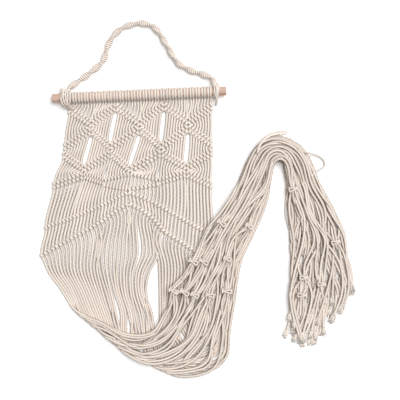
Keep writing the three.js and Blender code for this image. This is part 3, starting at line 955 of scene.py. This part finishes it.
def fray(cords, line, rng, fibres=TUFT_FIBRES):
    """A tuft of untwisted fibres at the end of a cord's line."""
    end = line[-1]
    way = end - line[-4]
    way = way / np.linalg.norm(way)
    across = np.array([way[1], -way[0], 0])
    t = np.linspace(0, 1, TUFT_POINTS)[:, None]
    thick = np.linspace(*TUFT_THICK, TUFT_POINTS)
    for _ in range(fibres):
        side, up = rng.uniform(-1, 1), rng.uniform(-1, 1)
        reach = rng.uniform(*TUFT_REACH)
        spread = TUFT_START + TUFT_FAN * t * rng.uniform(*TUFT_FANS) + rng.uniform(*TUFT_CURL) * t**2
        fibre = end - way * TUFT_BACK + way * (reach * t) + across * side * spread
        fibre[:, 2:] += up * (1 - TUFT_CLOSE * t) - end[2] * TUFT_DROP * t**2
        fibre[:, 2] = np.maximum(fibre[:, 2], TUFT_LOWEST)
        cords.tube(fibre, thick, tone=1.0, sides=4, flanks=TUFT_FLANKS)


def surface(lines, cell=4.0):
    """The height of the fringe's top over the table, by square cell."""
    heights = {}
    for line in lines:
        for x, y, z in line:
            key = (round(x / cell), round(y / cell))
            heights[key] = max(heights.get(key, 0.0), z + CORD_R)
    return lambda x, y: heights.get((round(x / cell), round(y / cell)), 0.0)


def wisps(lines, rng, material):
    """Fine loose fibres that lie on the tail's lower part."""
    top = surface(lines)
    cords = Cords()
    for _ in range(WISPS):
        x, y = rng.uniform(*WISP_X), rng.uniform(*WISP_Y)
        heading = -math.pi / 2 + rng.normal(0, WISP_FAN)
        points = []
        for _ in range(WISP_POINTS):
            points.append((x, y, top(x, y) + WISP_UP))
            heading += rng.normal(0, WISP_CURL)
            x, y = x + WISP_STEP * math.cos(heading), y + WISP_STEP * math.sin(heading)
        points = np.array(points)
        points[:, 2] = np.convolve(np.pad(points[:, 2], 1, "edge"), np.ones(3) / 3, "valid")
        cords.tube(spline(points, 2.5), WISP_R, tone=1.0, sides=5)
    cords.build("loose_fibres", "panel", material=material)


def strays(ends, rng, material):
    """Thin strands that bow out of the fringe, and one short cord end at the top of the loop."""
    for name, points in STRAYS.items():
        cords = Cords()
        cords.tube(spline(points, STEP), STRAY_R, tone=0.2)
        cords.build(name, "panel", material=material)
    cords = Cords()
    line = spline(LOOSE_END, STEP)
    cords.tube(line, np.linspace(CORD_R, LOOSE_END_R, len(line)), tone=1.0)
    cords.build("loose_end", "panel", material=material)
    fray(ends, line, rng, LOOSE_FIBRES)


def settled_cords(levels, rng):
    """The line of every fringe cord as it lies, and the net knots that hold them."""
    lock_seeds = rng.integers(0, 10**6, STRANDS)
    thirds = [
        [*LEFT_GATES, *shared_gates(2, False)],
        [*MIDDLE_GATES, *shared_gates(1, False)],
        [*RIGHT_GATES, *shared_gates(0, True)],
    ]
    lines = []
    for s in range(STRANDS):
        third = s // THIRD
        crossing = levels[-1][s][0]
        lock_rng = np.random.default_rng(lock_seeds[third * THIRD + (s % THIRD) // LOCK])
        exit_point = crossing.wraps()[-1]
        lines.append(fringe_line(s, thirds[third], exit_point, crossing.down, lock_rng, rng))
    knots, held = tie(lines)
    ridge = np.vstack([row[0].wraps()[::3] for row in levels[-1]])
    return settle(lines, held, ridge, ROUNDS), knots


def fringe(levels, material):
    """The free cords with their tufts, and the knots and loose fibres among them."""
    rng = np.random.default_rng(SEED + 1)
    lines, knots = settled_cords(levels, rng)
    ends = Cords()
    for s, line in enumerate(lines):
        line = spline(line, FRINGE_STEP, samples=4)
        along = lengths(line)
        # Warmer tint and deeper painted shade along the cord.
        warm = np.clip(along / WARM_AFTER, 0, 1) * rng.uniform(WARM_LEAST, 1.0)
        radius = CORD_R + SLACK * np.maximum(np.exp(-((along / SLACK_OVER) ** 2)), LAST_SLACK)
        # Near its end the painted flank shade is lifted, and the warmth halved.
        end_lift = np.clip(1 - (along[-1] - along) / FLANK_LIFT_OVER, 0, 1)
        flanks = PAINTED_FLANK_SHADE + FLANK_LIFT * end_lift
        look = {"tone": rng.uniform(), "turn": rng.uniform(0, 6), "warm": warm * (1 - end_lift / 2)}
        cords = Cords()
        cords.tube(line, radius, flanks=flanks, **look)
        bundle = f"fringe_{('left', 'middle', 'right')[s // THIRD]}_{(s % THIRD) // BUNDLE + 1}"
        nodes = [bundle] if s % BUNDLE == 0 else []
        obj = cords.build(f"fringe_cord_{s + 1:02d}", "panel", *nodes, material=material)
        fray(ends, line, rng)
    strays(ends, rng, material)
    ends.build("frayed_ends", "panel", material=material)
    net_knots(knots, rng, material)
    wisps(lines, rng, material)


# ---- hanger

HANGER_ROUTE = [
    (-149, 30, 21), (-143, 41, 14), (-131, 50, 9.5), (-99, 71, 9), (-72, 94, 9), (-61, 123, 9),
    (-48, 145, 9), (-29, 160, 9), (-3, 168, 9), (20, 167, 9), (39, 157, 9), (54, 134, 9),
    (67, 109, 9), (82, 84, 9), (107, 67, 9), (134, 57, 9), (150, 49, 11), (156, 39, 16),
    (157, 29, 22),
]
HANGER_R = 2.3
SINNET_PITCH = 4.1  # from one half knot to the next
SINNET_HALF_TURN = 29.0
SINNET_WIDE, SINNET_THICK = 5.3, 2.0  # from the middle to the middle of the wrapping cord
SINNET_TAPER = 14  # over which each end of the braid grows thicker, from half
SINNET_CORE_OUT, SINNET_CORE_R = 2.6, 2.4
# The windings of the knots at the dowel's ends: how light, x of the start and the end, how many
# turns, their radius, how far each leans over, and where it does.
LEFT_WINDINGS = [
    (0.8, -161, -142.5, 4.1, 11.0, 0.6, 0.4),
    (0.8, -159, -143.5, 3.2, 14.4, 3.5, 2.0),
    (0.8, -145, -156, 2.2, 16.2, -4.5, 0.3),
]
LEFT_TAILS = [
    (0.5, [(-152, 24, 29), (-158, 31, 25), (-161, 36, 16), (-160, 41, 9)]),
    (0.5, [(-156, 13, 28), (-151, 6, 23), (-146, 0, 15), (-143, -4, 9)]),
    (0.5, [(-150, 12, 29), (-146, 5, 24), (-142, 0, 16), (-140, -3, 11)]),
    (0.5, [(-160, 10, 24), (-156, 3, 16), (-150, -1, 9), (-144, -3, 5)]),
]
RIGHT_WINDINGS = [(0.8, 153.8, 162, 2.6, 11.2, 0.9, 0.2), (0.5, 161.5, 156.5, 2.2, 14.0, 3.2, 1.5)]
RIGHT_TAILS = [(0.6, [(157, 14, 26), (159, 5, 20), (159, -3, 10), (158, -7, 4)])]


def sinnet(material):
    """Half knots round two core cords; the flat braid twists as it goes."""
    cords = Cords()
    route = spline(HANGER_ROUTE, 0.5)
    along = lengths(route)
    tangent, normal = transported(route)
    side = np.cross(tangent, normal)
    twist = math.pi * along / SINNET_HALF_TURN
    wide = np.cos(twist)[:, None] * side + np.sin(twist)[:, None] * normal
    thick = np.cross(tangent, wide)
    turn = 2 * math.pi * along / SINNET_PITCH
    end = np.clip(np.minimum(along, along[-1] - along) / SINNET_TAPER, 0.5, 1)[:, None]
    line = route + end * (
        np.cos(turn)[:, None] * wide * SINNET_WIDE + np.sin(turn)[:, None] * thick * SINNET_THICK
    )
    line[:, 2] = np.maximum(line[:, 2], HANGER_R)
    cords.tube(even(line, 1.3), HANGER_R, tone=1.0)
    for sign in (-1, 1):
        core = route + sign * SINNET_CORE_OUT * wide * end
        cords.tube(even(core, 3.0), SINNET_CORE_R, tone=0.6)
    cords.build("hanger_braid", "hanger", "hanger_sinnet", material=material)


def winding(x_start, x_end, turns, radius, tilt, phase):
    """Turns round the dowel that each lean over, as in a knot tied by hand."""
    angle = np.linspace(0, 2 * math.pi * turns, int(26 * turns))
    x = np.linspace(x_start, x_end, len(angle)) + tilt * np.sin(angle + phase)
    y = DOWEL_Y - radius * np.cos(angle + phase)
    z = DOWEL_Z + radius * np.sin(angle + phase)
    return np.column_stack([x, y, np.maximum(z, HANGER_R)])


def end_knot(side, windings, tails, material):
    """The knot that ties the hanger to one end of the dowel."""
    cords = Cords()
    for tone, *turns in windings:
        cords.tube(spline(winding(*turns), FINE_STEP), HANGER_R, tone=tone)
    for tone, tail in tails:
        cords.tube(spline(tail, FINE_STEP), HANGER_R, tone=tone)
    cords.build(f"hanger_{side}_wraps", "hanger", f"hanger_knot_{side}", material=material)


def hanger(material):
    sinnet(material)
    end_knot("left", LEFT_WINDINGS, LEFT_TAILS, material)
    end_knot("right", RIGHT_WINDINGS, RIGHT_TAILS, material)


# ---- stage

# Metres, from here on.
CAMERA_CENTRE = (0.116, -0.203)
CAMERA_HEIGHT = 2.31
CAMERA_LENS = 100.0
CAMERA_TURN = math.radians(-2.47)
WORLD_LIGHT = 0.26
SOFTBOX_LIGHT = 2.85
SOFTBOX_SPREAD = 40.0  # degrees across
SOFTBOX_WAY = (-0.30, -0.22, -1.0)
FLOOR_SIZE, FLOOR_Z = 6, -0.0005
FLOOR_GLOW = 0.12


def camera():
    """Straight above, turned a little so that the dowel slopes as it lies."""
    data = bpy.data.cameras.new("camera")
    data.lens = CAMERA_LENS
    obj = added("camera", data)
    obj.location = (*CAMERA_CENTRE, CAMERA_HEIGHT)
    obj.rotation_euler = (0, 0, CAMERA_TURN)
    bpy.context.scene.camera = obj


def softbox():
    """One broad light from above and the upper right."""
    data = bpy.data.lights.new("softbox", "SUN")
    data.angle = math.radians(SOFTBOX_SPREAD)
    data.energy = SOFTBOX_LIGHT
    obj = added("softbox", data)
    obj.rotation_euler = Vector(SOFTBOX_WAY).to_track_quat("-Z", "Y").to_euler()


def stage():
    """A white floor under even white light."""
    scene = bpy.context.scene
    scene.view_settings.view_transform = "Standard"
    world = bpy.data.worlds.new("studio")
    world.use_nodes = True
    background = world.node_tree.nodes["Background"]
    background.inputs["Color"].default_value = (1, 1, 1, 1)
    background.inputs["Strength"].default_value = WORLD_LIGHT
    scene.world = world
    softbox()
    bpy.ops.mesh.primitive_plane_add(size=FLOOR_SIZE, location=(0, 0, FLOOR_Z))
    floor = bpy.context.object
    floor.name = "floor"
    material, _, _, shader = new_material("white_floor")
    shader.inputs["Base Color"].default_value = (0.95, 0.95, 0.95, 1)
    shader.inputs["Roughness"].default_value = 0.9
    shader.inputs["Emission Color"].default_value = (1, 1, 1, 1)
    shader.inputs["Emission Strength"].default_value = FLOOR_GLOW
    floor.data.materials.append(material)


def dowel(material):
    """The CAD's own dowel, shown in its wood."""
    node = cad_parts["dowel"]
    node.data.materials.clear()
    node.data.materials.append(material)


def main():
    yarn = cotton()
    levels = knotted_panel(yarn)
    cores(levels, yarn)
    fringe(levels, yarn)
    hanger(yarn)
    dowel(wood())
    stage()
    camera()


main()
